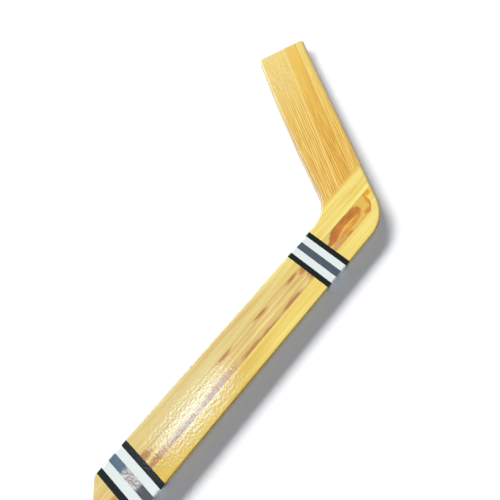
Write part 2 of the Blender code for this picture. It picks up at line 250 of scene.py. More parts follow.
def cut_board(name, keep, *removed):
    """Board cut from the milled stick: what lies in one solid and in none of the others. Each removed
    group is a list of solids that don't touch. The board is then thinned about the middle of its
    thickness, in step with its place between the blade's root and the toe."""
    obj = bpy.data.objects.new(name, milled_stick.copy())
    bpy.context.scene.collection.objects.link(obj)
    saws = [cutter(f"{name}_saw", keep)] + [cutter(f"{name}_chisel", *solids) for solids in removed]
    for saw in saws:
        modifier = obj.modifiers.new(saw.name, "BOOLEAN")
        modifier.operation = "INTERSECT" if saw is saws[0] else "DIFFERENCE"
        modifier.object = saw
    graph = bpy.context.evaluated_depsgraph_get()
    mesh = bpy.data.meshes.new_from_object(obj.evaluated_get(graph))
    obj.modifiers.clear()
    obj.data = mesh
    mesh.name = name
    for saw in saws:
        bpy.data.objects.remove(saw)
    points = np.empty((len(mesh.vertices), 3), np.float32)
    mesh.vertices.foreach_get("co", points.ravel())
    share = np.clip((points[:, 1] - root_y) / (toe_y - root_y), 0, 1)
    scale = 1 - (1 - TOE_THICKNESS / thickness) * share
    points[:, 2] = thickness / 2 + (points[:, 2] - thickness / 2) * scale
    mesh.vertices.foreach_set("co", points.ravel())
    mesh.shade_smooth()
    mesh.set_sharp_from_angle(angle=SHARP_ANGLE)
    mesh.update()
    return obj


def round_the_paddle(profile, seam=None):
    """Points and faces of a profile, given as places (x, depth) under the paddle's surface, carried once
    round the paddle's section, a rectangle with a quarter circle at each corner. A seam, its middle and
    its width across the back face, parts the ring."""
    corner = np.repeat(np.arange(4), EDGE_STEPS + 3)
    turn = np.concatenate([[0], np.linspace(0, math.pi / 2, EDGE_STEPS + 1), [math.pi / 2]])
    turn = np.tile(turn, 4) + (corner - 1) * math.pi / 2
    margin = np.tile(np.concatenate([[-FLAT_MARGIN], np.zeros(EDGE_STEPS + 1), [FLAT_MARGIN]]), 4)
    outward = np.stack([np.cos(turn), np.sin(turn)], axis=1)
    onward = np.stack([-np.sin(turn), np.cos(turn)], axis=1)
    centre_y = np.where(corner < 2, toe_side - EDGE_ROUND, back_side + EDGE_ROUND)
    centre_z = np.where((corner == 1) | (corner == 2), thickness - EDGE_ROUND, EDGE_ROUND)
    path = np.stack([centre_y, centre_z], axis=1) + EDGE_ROUND * outward + margin[:, None] * onward
    if seam:
        ends = [[seam[0] + seam[1] / 2, 0.0], [seam[0] - seam[1] / 2, 0.0]]
        path = np.concatenate([ends[:1], path, ends[1:]])
        outward = np.concatenate([[[0, -1]], outward, [[0, -1]]])
    x, depth = np.array(profile).T
    section = path[:, None] - depth[:, None] * outward[:, None]
    along = np.broadcast_to(x[:, None], (len(path), len(x), 1))
    points = np.concatenate([along, section], axis=2).reshape(-1, 3)
    if not seam:
        return points, (np.array(grid_faces(len(path) + 1, len(x))) % len(points)).tolist()
    faces = grid_faces(len(path), len(x))
    faces.append(list(range(len(x)))[::-1])
    faces.append(list(range(len(points) - len(x), len(points))))
    return points, faces


milled_stick = stick_mesh()
stick_points = np.empty((len(milled_stick.vertices), 3), np.float32)
milled_stick.vertices.foreach_get("co", stick_points.ravel())
toe_y = float(stick_points[:, 1].max())
grooves = []
for band in ("shoulder_band", "heel_band"):
    groove_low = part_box(f"{band}_black_1")[0][0] - FILM_GAP
    groove_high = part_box(f"{band}_black_2")[1][0] + FILM_GAP
    groove_depth = FILM_THICKNESS + FILM_GAP
    grooves.append(round_the_paddle([
        (groove_high, groove_depth), (groove_high, -WASTE),
        (groove_low, -WASTE), (groove_low, groove_depth)]))


# Shaft: three plies glued face to face, birch outside and aspen between, run down through the middle of
# the paddle and mitred at the heel. The core ply is wider, lapped into the slats, with a tongue in the
# heel block. All of it is finished with an amber lacquer that holds a thin glass cloth.
FACE_PLY = 0.006
MITRE_ANGLE = math.radians(35.0)
MITRE_SETBACK = 0.0155
CORE_LAP = 0.002
CORE_TONGUE = 0.003
HAIRLINE = 0.00003

half_core = half_shaft + CORE_LAP
mitre_x = PADDLE_LENGTH - back_side / math.tan(BLADE_ANGLE) - MITRE_SETBACK
mitre_gap = HAIRLINE / math.sin(MITRE_ANGLE)
beyond_butt = butt_x - WASTE
beyond_toe = PADDLE_LENGTH + BLADE_LENGTH + WASTE
ply_heights = {
    "front": (thickness - FACE_PLY + HAIRLINE, thickness + WASTE),
    "core": (FACE_PLY + HAIRLINE, thickness - FACE_PLY - HAIRLINE),
    "back": (-WASTE, FACE_PLY - HAIRLINE),
}


def mitre(y, beyond):
    """Point on the shaft's mitre, a slanting line, at a place across it, moved on along the shaft."""
    return mitre_x + y / math.tan(MITRE_ANGLE) + beyond, y


face_edge = half_shaft - HAIRLINE
core_edge = half_core - HAIRLINE
face_plan = [
    (beyond_butt, -WASTE), (neck_back_x, -WASTE), (neck_back_x, -face_edge),
    mitre(-face_edge, -mitre_gap), mitre(face_edge, -mitre_gap),
    (neck_toe_x, face_edge), (neck_toe_x, WASTE), (beyond_butt, WASTE)]
core_plan = [
    (beyond_butt, -core_edge), mitre(-core_edge, CORE_TONGUE - mitre_gap),
    mitre(core_edge, CORE_TONGUE - mitre_gap), (beyond_butt, core_edge)]

# A wave texture of scale 1 repeats every 20th of a full turn, so this over a spacing in mm is its scale
WAVE_PER_MM = 2 * math.pi / 20
# Real fibres are a few hundredths of a millimetre wide and the cloth's threads lie about 0.4 mm apart.
# Both are drawn as coarse as they need to be to show in the render.
FIBRE_WIDTH_MM = 0.5
FIBRE_LENGTH_MM = 30.0
FIBRE_SHOW = 0.6
FIBRE_DEPTH = 0.00004
GRAIN_STRETCH = 0.03
PATCH_BLEND = 0.3
CLOTH_THREAD_MM = 1.1
CLOTH_SHOW = 0.012
RIPPLE_MM = 3.2
# Depth of the lacquer's ripple in metres, and the roughness of its skin
SKIN_ON_WOOD = (0.00014, 0.12)
SKIN_ON_FILM = (0.0001, 0.16)
# How much of the painted shade on the rounded edges shows, by how far the surface faces up or down: none
# on the flats
EDGE_SHADE_COLOUR = "705E32"
EDGE_SHADE_STOPS = ((0.0, 0.25), (0.3, 0.65), (0.7, 0.9), (0.8, 0.55), (0.9, 0.0))


def linear(hex_colour):
    """Linear red, green, blue and alpha of an sRGB hex colour."""
    channels = [int(hex_colour[i:i + 2], 16) / 255 for i in (0, 2, 4)]
    return [c / 12.92 if c <= 0.04045 else ((c + 0.055) / 1.055) ** 2.4 for c in channels] + [1.0]


def add(tree, kind, sockets=None, stops=(), **settings):
    """Add a node: its properties from settings, its inputs from values or from other nodes' outputs,
    and the stops of a colour ramp, each a place and a hex colour or a grey value. Sockets that share a
    name go by number: 6 and 7 are the two colours of a mix, 1 and 2 the ends of a range, 4 its result at
    the second end."""
    node = tree.nodes.new("ShaderNode" + kind)
    for name, value in settings.items():
        setattr(node, name, value)
    for socket, value in (sockets or {}).items():
        if isinstance(value, bpy.types.NodeSocket):
            tree.links.new(value, node.inputs[socket])
        else:
            node.inputs[socket].default_value = value
    for _ in stops[2:]:
        node.color_ramp.elements.new(1.0)
    for element, (place, value) in zip(node.color_ramp.elements if stops else (), stops):
        element.position = place
        element.color = linear(value) if isinstance(value, str) else [value, value, value, 1.0]
    return node


def new_material(name, grain_turn=0.0):
    """Material with only its shader, and the place on the board in millimetres, X along the grain."""
    material = bpy.data.materials.new(name)
    material.use_nodes = True
    tree = material.node_tree
    place = add(tree, "TexCoord").outputs["Object"]
    board = add(tree, "Mapping", {
        "Vector": place, "Rotation": (0, 0, -grain_turn), "Scale": (1000, 1000, 1000)}).outputs[0]
    return material, tree, board


def stretched_noise(tree, place, length_mm, width_mm, seed, detail=3.0):
    """Noise drawn out along the grain, from about 0.2 to 0.8."""
    place = add(tree, "Mapping", {
        "Vector": place, "Location": (seed, 2 * seed, 3 * seed),
        "Scale": (1 / length_mm, 1 / width_mm, 1 / width_mm)}).outputs[0]
    return add(tree, "TexNoise", {
        "Vector": place, "Scale": 1.0, "Detail": detail, "Roughness": 0.55}).outputs["Fac"]


def sawn_wood(tree, board, pale, dark, seed, ring_mm, rings, figure_mm, figure, pith_mm):
    """Colour of a sawn board and its fibres. The rings are circles about a far pith, bent by slow noise;
    rings and figure say how strongly the rings and the wider figure show."""
    drawn = add(tree, "Mapping", {
        "Vector": board, "Location": (seed, *pith_mm), "Scale": (GRAIN_STRETCH, 1, 1)}).outputs[0]
    wave = add(tree, "TexWave", {
        "Vector": drawn, "Scale": WAVE_PER_MM / ring_mm, "Distortion": 3.5, "Detail": 3.0,
        "Detail Scale": 1.2, "Detail Roughness": 0.55},
        wave_type="RINGS", rings_direction="X", wave_profile="SAW").outputs["Fac"]
    latewood = add(tree, "ValToRGB", {0: wave}, stops=[
        (0.0, 0.15), (0.12, 0.0), (0.55, 0.1), (0.9, 1.0), (1.0, 0.15)]).outputs[0]
    fibres = stretched_noise(tree, board, FIBRE_LENGTH_MM, FIBRE_WIDTH_MM, seed)
    wide = stretched_noise(tree, board, 20 * figure_mm, figure_mm, seed + 0.5, detail=4.0)
    # The mean of the rings is 0.3 and that of each noise 0.5, and their sum is brought to 0.5
    level = 0.5 - 0.3 * rings - 0.5 * figure - 0.5 * FIBRE_SHOW
    tone = add(tree, "Math", {0: latewood, 1: rings, 2: level}, operation="MULTIPLY_ADD").outputs[0]
    tone = add(tree, "Math", {0: wide, 1: figure, 2: tone}, operation="MULTIPLY_ADD").outputs[0]
    tone = add(tree, "Math", {0: fibres, 1: FIBRE_SHOW, 2: tone}, operation="MULTIPLY_ADD").outputs[0]
    return add(tree, "ValToRGB", {0: tone}, stops=[(0.0, pale), (1.0, dark)]).outputs[0], fibres


def patch_share(tree, place, patches, soft):
    """How far inside a group of patches a place is, from 0 outside to 1 inside. Each patch is an ellipse
    with a soft rim: its middle along and across the board, and half its length and width."""
    nearest = None
    for along, across, half_length, half_width in patches:
        inside = add(tree, "Mapping", {
            "Vector": place, "Location": (-along / half_length, -across / half_width, 0),
            "Scale": (1 / half_length, 1 / half_width, 0)}).outputs[0]
        away = add(tree, "VectorMath", {0: inside}, operation="LENGTH").outputs["Value"]
        if nearest:
            away = add(tree, "Math", {
                0: nearest, 1: away, 2: PATCH_BLEND}, operation="SMOOTH_MIN").outputs[0]
        nearest = away
    return add(tree, "MapRange", {0: nearest, 1: 1 + soft, 2: 1 - soft},
               interpolation_type="SMOOTHSTEP").outputs[0]


def lacquer(tree, board, colour, fibres=None):
    """Clear polyester coat over what lies under it, crinkled by the glass cloth's threads and by its own
    sagging, so that a lamp shows in it as a broken, sparkling glare. On wood its rounded edges carry a
    painted shade, darker the more they slope, which gives the boards a soft dark outline."""
    threads = [add(tree, "TexWave", {
        "Vector": board, "Scale": WAVE_PER_MM / CLOTH_THREAD_MM},
        wave_type="BANDS", bands_direction=direction, wave_profile="SIN").outputs["Fac"]
        for direction in "XY"]
    cloth = add(tree, "Math", {0: threads[0], 1: threads[1]}, operation="MULTIPLY").outputs[0]
    ripple = add(tree, "Mapping", {"Vector": board, "Scale": (1, 0.8, 1)}).outputs[0]
    ripple = add(tree, "TexNoise", {
        "Vector": ripple, "Scale": 1 / RIPPLE_MM, "Detail": 1.5, "Roughness": 0.4}).outputs["Fac"]
    relief = add(tree, "Math", {
        0: cloth, 1: CLOTH_SHOW, 2: ripple}, operation="MULTIPLY_ADD").outputs[0]
    depth, skin_roughness = SKIN_ON_WOOD if fibres else SKIN_ON_FILM
    skin = add(tree, "Bump", {"Height": relief, "Strength": 1.0, "Distance": depth}).outputs[0]
    shader = tree.nodes["Principled BSDF"]
    tree.links.new(skin, shader.inputs["Coat Normal"])
    if fibres:
        # Painted shade: the rounded edges turn olive the more they slope away from the flats
        facing = add(tree, "SeparateXYZ", {0: add(tree, "TexCoord").outputs["Normal"]}).outputs[2]
        facing = add(tree, "Math", {0: facing}, operation="ABSOLUTE").outputs[0]
        painted_shade_share = add(tree, "ValToRGB", {0: facing}, stops=EDGE_SHADE_STOPS).outputs[0]
        colour = add(tree, "Mix", {
            0: painted_shade_share, 6: colour, 7: linear(EDGE_SHADE_COLOUR)}, data_type="RGBA").outputs[2]
        under = add(tree, "Bump", {
            "Height": fibres, "Strength": 0.6, "Distance": FIBRE_DEPTH}).outputs[0]
        tree.links.new(under, shader.inputs["Normal"])
    tree.links.new(colour, shader.inputs["Base Color"])
    shader.inputs["Roughness"].default_value = 0.5
    shader.inputs["IOR"].default_value = 1.5
    shader.inputs["Specular IOR Level"].default_value = 0.2
    shader.inputs["Coat Weight"].default_value = 1.0
    shader.inputs["Coat Roughness"].default_value = skin_roughness
    shader.inputs["Coat IOR"].default_value = 1.5


def finish(piece, material, node):
    """Give a piece its material and let it stand for its CAD node."""
    piece.data.materials.clear()
    piece.data.materials.append(material)
    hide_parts(node)
    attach(piece, "root")


# Patches as places along and across the shaft, half lengths and half widths, in millimetres
FLAMES = ((-14, -2, 20, 4.5), (62, 5, 12, 6), (72, -10, 22, 5), (120, -11, 38, 5), (190, -11, 44, 5.5),
          (226, 12, 15, 3), (262, -13.5, 26, 6), (294, -14, 34, 4), (308, 12.5, 14, 4), (352, -13, 26, 6),
          (378, 12.5, 14, 4.5), (401, 7, 9, 6), (404, -7, 9, 7))
HEART = ((468, 0, 13, 4), (478, 3, 14, 7), (498, 8.5, 26, 6), (505, 1, 30, 7.5), (526, 4, 14, 9))
GOLD_IN_HEART = ((505, -2, 26, 4),)
LOW_HEART = ((505, -6.5, 22, 1.5), (494, -11.5, 8, 2.6), (545, -10, 8, 3))
PINK_WOOD = ((474, -9.5, 20, 5),)
PALE_WOOD = ((464, 10, 14, 4.5),)
SPECKLED = ((476, -10, 13, 3),)
KNOT = ((570, 10.5, 6.5, 5.5),)
GOLD_STARTS_MM = 475.0
GOLD_FULL_MM = 505.0
ARC_CENTRE = (515, 20)
ARC_RADIUS = 48.5
GLUE_STAIN_MM = (0.9, 0.2)


def bent_place(tree, board, along_mm, across_mm, tooth_mm, detail):
    """Place on a board moved about by noise, so that what is drawn with it has a wandering rim: how far
    it moves along and across the board, and how long and wide the noise's teeth are."""
    scale = (1 / tooth_mm[0], 1 / tooth_mm[1], 1 / tooth_mm[1])
    noise = add(tree, "Mapping", {"Vector": board, "Scale": scale}).outputs[0]
    noise = add(tree, "TexNoise", {"Vector": noise, "Scale": 1.0, "Detail": detail}).outputs["Color"]
    noise = add(tree, "VectorMath", {0: noise, 1: (0.5, 0.5, 0.5)}, operation="SUBTRACT").outputs[0]
    reach = (2 * along_mm, 2 * across_mm, 0)
    return add(tree, "VectorMath", {0: noise, 1: reach, 2: board}, operation="MULTIPLY_ADD").outputs[0]


def birch(name, seed, flames):
    """Lacquered birch of the face plies: close, even grain that reads as soft tan streaks, with long
    brown and orange flames of heartwood that fade out at both ends."""
    material, tree, board = new_material(name)
    colour, fibres = sawn_wood(tree, board, "FCE896", "D0A45A", seed, ring_mm=5.0, rings=0.3,
                               figure_mm=5.0, figure=1.3, pith_mm=(60, 35))
    bent = bent_place(tree, board, along_mm=14, across_mm=3.0, tooth_mm=(22, 3), detail=5.0)
    streaks = stretched_noise(tree, bent, 22, 1.3, seed)
    tint = stretched_noise(tree, board, 45, 12, seed + 4)
    flame = add(tree, "ValToRGB", {0: tint}, stops=[
        (0.3, "AC6A44"), (0.5, "A46C38"), (0.62, "C87C36")]).outputs[0]
    flame = add(tree, "Mix", {0: streaks, 6: flame, 7: linear("C89A58")}, data_type="RGBA").outputs[2]
    share = patch_share(tree, bent, flames, soft=0.55)
    deep = add(tree, "Math", {0: share, 1: share}, operation="MULTIPLY").outputs[0]
    flame = add(tree, "Mix", {0: deep, 6: linear("DCA85E"), 7: flame}, data_type="RGBA").outputs[2]
    colour = add(tree, "Mix", {0: share, 6: colour, 7: flame}, data_type="RGBA").outputs[2]
    return material, tree, board, streaks, colour, fibres


def glue_lines(tree, board, colour):
    """Amber glue that has soaked into the wood along both seams of the shaft."""
    across = add(tree, "SeparateXYZ", {0: board}).outputs[1]
    across = add(tree, "Math", {0: across}, operation="ABSOLUTE").outputs[0]
    starts, full = (1000 * half_shaft - inside for inside in GLUE_STAIN_MM)
    share = add(tree, "MapRange", {0: across, 1: starts, 2: full, 4: 0.45}).outputs[0]
    return add(tree, "Mix", {0: share, 6: colour, 7: linear("A8702F")}, data_type="RGBA").outputs[2]


# Front ply: at the heel the birch turns golden, and orange heartwood with yellow veins lies in it
front_birch, tree, board, streaks, colour, fibres = birch("lacquered_birch_front", 3.0, FLAMES)
bent = bent_place(tree, board, along_mm=5, across_mm=1.5, tooth_mm=(14, 2.5), detail=4.0)
wavy = bent_place(tree, board, along_mm=3.5, across_mm=2.5, tooth_mm=(9, 7), detail=2.0)
along = add(tree, "SeparateXYZ", {0: board}).outputs[0]
gold = add(tree, "MapRange", {0: along, 1: GOLD_STARTS_MM, 2: GOLD_FULL_MM, 4: 0.8}).outputs[0]
colour = add(tree, "Mix", {0: gold, 6: colour, 7: linear("EEBA48")}, data_type="RGBA").outputs[2]
heart = add(tree, "ValToRGB", {0: streaks}, stops=[
    (0.3, "AE6420"), (0.5, "C47528"), (0.68, "DC983C")]).outputs[0]
vein = add(tree, "MapRange", {0: streaks, 1: 0.46, 2: 0.56}).outputs[0]
vein = add(tree, "Mix", {0: vein, 6: linear("DD9434"), 7: linear("FFC858")}, data_type="RGBA").outputs[2]
for patches, soft, over in (
        (PINK_WOOD, 0.4, linear("D79E52")), (PALE_WOOD, 0.5, linear("E8CC72")), (HEART, 0.16, heart),
        (LOW_HEART, 0.4, linear("D08F38")), (GOLD_IN_HEART, 0.3, vein)):
    share = patch_share(tree, bent, patches, soft)
    colour = add(tree, "Mix", {0: share, 6: colour, 7: over}, data_type="RGBA").outputs[2]

# A brown growth line sweeps round the heartwood in an arc, with pale yellow sapwood beyond it
away = add(tree, "Mapping", {
    "Vector": wavy, "Location": (-ARC_CENTRE[0], -ARC_CENTRE[1], 0), "Scale": (1, 1, 0)}).outputs[0]
away = add(tree, "VectorMath", {0: away, 1: (0, -1000, 0)}, operation="MAXIMUM").outputs[0]
away = add(tree, "VectorMath", {0: away}, operation="LENGTH").outputs["Value"]
away = add(tree, "Math", {0: away, 1: ARC_RADIUS}, operation="SUBTRACT").outputs[0]
beyond = add(tree, "MapRange", {0: away, 1: 1.0, 2: 3.0}).outputs[0]
near = add(tree, "Math", {0: away}, operation="ABSOLUTE").outputs[0]
near = add(tree, "MapRange", {0: near, 1: 4.4, 2: 1.0, 4: 0.8}).outputs[0]
colour = add(tree, "Mix", {0: near, 6: colour, 7: linear("CC8414")}, data_type="RGBA").outputs[2]
colour = add(tree, "Mix", {0: beyond, 6: colour, 7: linear("FDDD7A")}, data_type="RGBA").outputs[2]

# White specks show beside the heartwood, and a small amber knot lies in the sapwood
specks = stretched_noise(tree, board, 2.4, 1.2, 7.0, detail=2.0)
specks = add(tree, "MapRange", {0: specks, 1: 0.56, 2: 0.64, 4: 0.7}).outputs[0]
share = patch_share(tree, board, SPECKLED, soft=0.5)
share = add(tree, "Math", {0: specks, 1: share}, operation="MULTIPLY").outputs[0]
colour = add(tree, "Mix", {0: share, 6: colour, 7: linear("FFF2D0")}, data_type="RGBA").outputs[2]
share = patch_share(tree, wavy, KNOT, soft=0.4)
colour = add(tree, "Mix", {0: share, 6: colour, 7: linear("E9A800")}, data_type="RGBA").outputs[2]
lacquer(tree, board, glue_lines(tree, board, colour), fibres)

# Back ply: the same birch with fewer flames
back_birch, tree, board, _, colour, fibres = birch("lacquered_birch_back", 11.0, FLAMES[3:8])
lacquer(tree, board, glue_lines(tree, board, colour), fibres)

# Core plies: plain aspen, greyer than the face plies, with fine rings that show at the edges and ends
core_wood, tree, board = new_material("lacquered_aspen_core")
colour, fibres = sawn_wood(tree, board, "E6CF93", "C7A767", 17.0, ring_mm=3.5, rings=0.5,
                           figure_mm=3.0, figure=1.2, pith_mm=(-40, 120))
lacquer(tree, board, colour, fibres)

shaft_plies = {
    "front": (face_plan, front_birch, "shaft_wood"),
    "core": (core_plan, core_wood, "core_wood"),
    "back": (face_plan, back_birch, "shaft_wood"),
}
for ply, heights in ply_heights.items():
    plan, wood, slot_name = shaft_plies[ply]
    piece = cut_board(f"shaft_{ply}", prism(plan, *heights), grooves)
    finish(piece, wood, f"shaft_{ply}_ply")


# Slats: a board of three aspen plies glued on each side of the shaft. The one on the toe side runs on
# through the heel and carries the blade in a slot of its core ply.
BLADE_TONGUE = 0.010


def slat_wood(name, seed, pith_mm, bright_x, dull_x, hue=0.492, saturation=0.9, figure=1.3):
    """Lacquered aspen of the slats: nearly without rings, which reads as a smooth bright yellow at the
    heel. Between two places along the stick in millimetres it turns duller and darker towards the
    shoulder, partly its own tone and partly painted shade."""
    material, tree, board = new_material(name)
    colour, fibres = sawn_wood(tree, board, "FFF490", "EFC354", seed, ring_mm=8.0, rings=0.25,
                               figure_mm=9.0, figure=figure, pith_mm=pith_mm)
    along = add(tree, "SeparateXYZ", {0: board}).outputs[0]
    # Partly painted shade: darker and duller towards the shoulder, where the light falls off, on top of
    # the wood's own duller tone
    duller = add(tree, "MapRange", {0: along, 1: bright_x, 2: dull_x}).outputs[0]
    dull_and_shaded = add(tree, "HueSaturation", {
        "Hue": hue, "Saturation": saturation, "Value": 0.85, "Color": colour}).outputs[0]
    colour = add(tree, "Mix", {0: duller, 6: colour, 7: dull_and_shaded}, data_type="RGBA").outputs[2]
    lacquer(tree, board, colour, fibres)
    return material


def strip(y_low, y_high):
    """Outline of a strip that runs along the whole stick between two places across it."""
    return [(beyond_butt, y_low), (beyond_toe, y_low), (beyond_toe, y_high), (beyond_butt, y_high)]


# Each slat's strip in the face plies, its strip in the core ply, and its wood
slats = {
    "toe_slat": (
        strip(half_shaft + HAIRLINE, root_y), strip(half_core + HAIRLINE, root_y - BLADE_TONGUE),
        slat_wood("lacquered_aspen_toe_slat", 23.0, (140, 40), 500.0, 280.0, figure=2.2)),
    "back_slat": (
        strip(back_side - WASTE, -half_shaft - HAIRLINE), strip(back_side - WASTE, -half_core - HAIRLINE),
        slat_wood("lacquered_aspen_back_slat", 31.0, (110, 40), 320.0, 210.0, 0.488, 1.1)),
}
for side, (face_strip, core_strip, wood) in slats.items():
    for ply, heights in ply_heights.items():
        plan = core_strip if ply == "core" else face_strip
        piece = cut_board(f"{side}_{ply}", prism(plan, *heights), grooves)
        if ply == "core":
            finish(piece, core_wood, f"{side}_core_ply")
        else:
            finish(piece, wood, f"{side}_{ply}_ply")


# Heel block: the small wedge of aspen that closes the end of the shaft between the slats, slotted for
# the tongue of the shaft's core ply and lapped over it at both sides.
block_plan = [
    mitre(-core_edge, mitre_gap), (beyond_toe, -core_edge),
    (beyond_toe, core_edge), mitre(core_edge, mitre_gap)]
outside = [(-WASTE, FACE_PLY), (thickness - FACE_PLY, thickness + WASTE)]
rebates = [
    prism([(0, low), (beyond_toe, low), (beyond_toe, high), (0, high)], *heights)
    for low, high in ((face_edge, half_core + WASTE), (-half_core - WASTE, -face_edge))
    for heights in outside]
slot_plan = [
    (0, -half_core - WASTE), mitre(-half_core - WASTE, CORE_TONGUE + mitre_gap),
    mitre(half_core + WASTE, CORE_TONGUE + mitre_gap), (0, half_core + WASTE)]
slot = prism(slot_plan, FACE_PLY - HAIRLINE, thickness - FACE_PLY + HAIRLINE)
heel_block = cut_board("heel_wedge", prism(block_plan, -WASTE, thickness + WASTE), rebates, [slot])
heel_wood = slat_wood("lacquered_aspen_heel", 41.0, (90, 30), 480.0, 390.0)
finish(heel_block, heel_wood, "heel_block")


# Blade: three boards of straight-grained ash glued edge to edge, each with a tongue at its root for the
# toe-side slat. A pale and a brown line run along one glue joint, and a pale line along the other.
SOLE_BOARD_AT_ROOT = 0.025
SOLE_BOARD_AT_TOE = 0.0185
MIDDLE_BOARD_AT_ROOT = 0.0295
MIDDLE_BOARD_AT_TOE = 0.0245
LINE_SHOW = 0.6

sole_seam = (SOLE_BOARD_AT_ROOT, SOLE_BOARD_AT_TOE)
top_seam = (SOLE_BOARD_AT_ROOT + MIDDLE_BOARD_AT_ROOT, SOLE_BOARD_AT_TOE + MIDDLE_BOARD_AT_TOE)
# Each line at a seam: the side of it that it keeps to, where it starts and where it is full, in
# millimetres above the seam, and its colour
seam_lines = (
    (sole_seam, "LESS_THAN", -3.0, -0.4, "FFD878"),
    (sole_seam, "GREATER_THAN", 2.4, 0.3, "D2A046"),
    (top_seam, "ABSOLUTE", 2.2, 0.8, "FFE08A"),
)
turned_heel = (PADDLE_LENGTH * math.cos(BLADE_ANGLE) + back_side * math.sin(BLADE_ANGLE),
               back_side * math.cos(BLADE_ANGLE) - PADDLE_LENGTH * math.sin(BLADE_ANGLE))


def seam_line(at_root, at_toe):
    """A blade seam as its height above the sole at the heel, and its slope; it is straight."""
    root_along = (root_y - back_side) / math.sin(BLADE_ANGLE)
    slope = (at_toe - at_root) / (BLADE_LENGTH - root_along)
    return at_root - slope * root_along, slope


def seam_point(at_root, at_toe, y):
    """Point of a blade seam at a height across the stick."""
    at_heel, slope = seam_line(at_root, at_toe)
    along = (y - back_side - at_heel * math.cos(BLADE_ANGLE)) / (
        math.sin(BLADE_ANGLE) + slope * math.cos(BLADE_ANGLE))
    return tuple(blade_point(along, at_heel + slope * along))


def blade_wood(name, pale, dark, toe_colour, seed):
    """Lacquered ash of the blade: strong straight rings that read as golden and brown streaks along it,
    paler and quieter towards the toe, with pale specks of the cloth near the toe."""
    material, tree, board = new_material(name, BLADE_ANGLE)
    colour, fibres = sawn_wood(tree, board, pale, dark, seed, ring_mm=4.0, rings=0.8,
                               figure_mm=2.4, figure=2.1, pith_mm=(-180, 60))
    from_heel = add(tree, "Mapping", {
        "Vector": board, "Location": (-1000 * turned_heel[0], -1000 * turned_heel[1], 0)}).outputs[0]
    along, above, _ = add(tree, "SeparateXYZ", {0: from_heel}).outputs
    for starts, share_at_toe, hex_colour in ((180.0, 0.8, toe_colour), (365.0, 0.1, "F6EEC8")):
        paler = add(tree, "MapRange", {0: along, 1: starts, 2: 415.0, 4: share_at_toe}).outputs[0]
        colour = add(tree, "Mix", {
            0: paler, 6: colour, 7: linear(hex_colour)}, data_type="RGBA").outputs[2]
    for seam, side, starts, full, hex_colour in seam_lines:
        at_heel, slope = seam_line(*seam)
        over = add(tree, "Math", {
            0: along, 1: -slope, 2: -1000 * at_heel}, operation="MULTIPLY_ADD").outputs[0]
        over = add(tree, "Math", {0: above, 1: over}, operation="ADD").outputs[0]
        on_side = add(tree, "Math", {0: over, 1: 0.0}, operation=side).outputs[0]
        if side == "ABSOLUTE":
            share = add(tree, "MapRange", {0: on_side, 1: starts, 2: full, 4: LINE_SHOW}).outputs[0]
        else:
            share = add(tree, "MapRange", {0: over, 1: starts, 2: full, 4: LINE_SHOW}).outputs[0]
            share = add(tree, "Math", {0: share, 1: on_side}, operation="MULTIPLY").outputs[0]
        colour = add(tree, "Mix", {
            0: share, 6: colour, 7: linear(hex_colour)}, data_type="RGBA").outputs[2]
    flecks = stretched_noise(tree, board, 3.0, 1.5, seed + 9, detail=2.0)
    flecks = add(tree, "MapRange", {0: flecks, 1: 0.53, 2: 0.63, 4: 0.7}).outputs[0]
    area = add(tree, "MapRange", {0: along, 1: 240.0, 2: 330.0}).outputs[0]
    high = add(tree, "MapRange", {0: above, 1: 36.0, 2: 60.0}).outputs[0]
    area = add(tree, "Math", {0: area, 1: high}, operation="MULTIPLY").outputs[0]
    flecks = add(tree, "Math", {0: flecks, 1: area}, operation="MULTIPLY").outputs[0]
    colour = add(tree, "Mix", {0: flecks, 6: colour, 7: linear("FFF0C4")}, data_type="RGBA").outputs[2]
    lacquer(tree, board, colour, fibres)
    return material


tongue_y = root_y - BLADE_TONGUE + 2 * HAIRLINE
slat_edge = root_y + 2 * HAIRLINE
before_tongue = root_y - BLADE_TONGUE - WASTE
slat_plan = [(0, before_tongue), (beyond_toe, before_tongue), (beyond_toe, slat_edge), (0, slat_edge)]
slat_faces = [prism(slat_plan, *heights) for heights in outside]
blade_boards = (
    ("sole", (-WASTE, -WASTE), sole_seam, "FFDA6E", "D39B38", "FBE079", 51.0),
    ("middle", sole_seam, top_seam, "FACD5C", "CE9030", "F8CF59", 61.0),
    ("top", top_seam, (BLADE_HEIGHT + WASTE, BLADE_HEIGHT + WASTE), "FFDA72", "D09837", "F6DC79", 71.0),
)
for name, low, high, pale, dark, toe_colour, seed in blade_boards:
    low = [above + HAIRLINE for above in low]
    high = [above - HAIRLINE for above in high]
    plan = [seam_point(*low, tongue_y), seam_point(*low, toe_y + WASTE),
            seam_point(*high, toe_y + WASTE), seam_point(*high, tongue_y)]
    piece = cut_board(f"blade_{name}", prism(plan, -WASTE, thickness + WASTE), slat_faces)
    wood = blade_wood(f"lacquered_ash_{name}", pale, dark, toe_colour, seed)
    finish(piece, wood, f"blade_{name}_board")


# Stripe films: two sets of five printed polyester films, black, white, silver, white, black, each
# wrapped right round the paddle in a shallow seat, butted on the back face and lacquered over.
FILM_EDGE = 0.00008
FILM_REACH = 0.00012
FILM_SEAM = (back_side / 2, 0.0004)
CLOUD_MM = 25.0
CLOUD_SHADE = 0.93
CRINKLE_MM = 4.0
CRINKLE_DEPTH = 0.0008
CRINKLE_ON_FLAT = 0.15
FOIL_ROUGHNESS = 0.16
CRINKLE_FROST = 0.22
# Patches along and across the paddle in mm: the crinkle with its paler painted highlight, and the painted
# grey reflection
CRINKLE_AND_PAINTED_HIGHLIGHT = (31, -1, 60, 15)
PAINTED_GREY_REFLECTION = (31, -32, 60, 16)


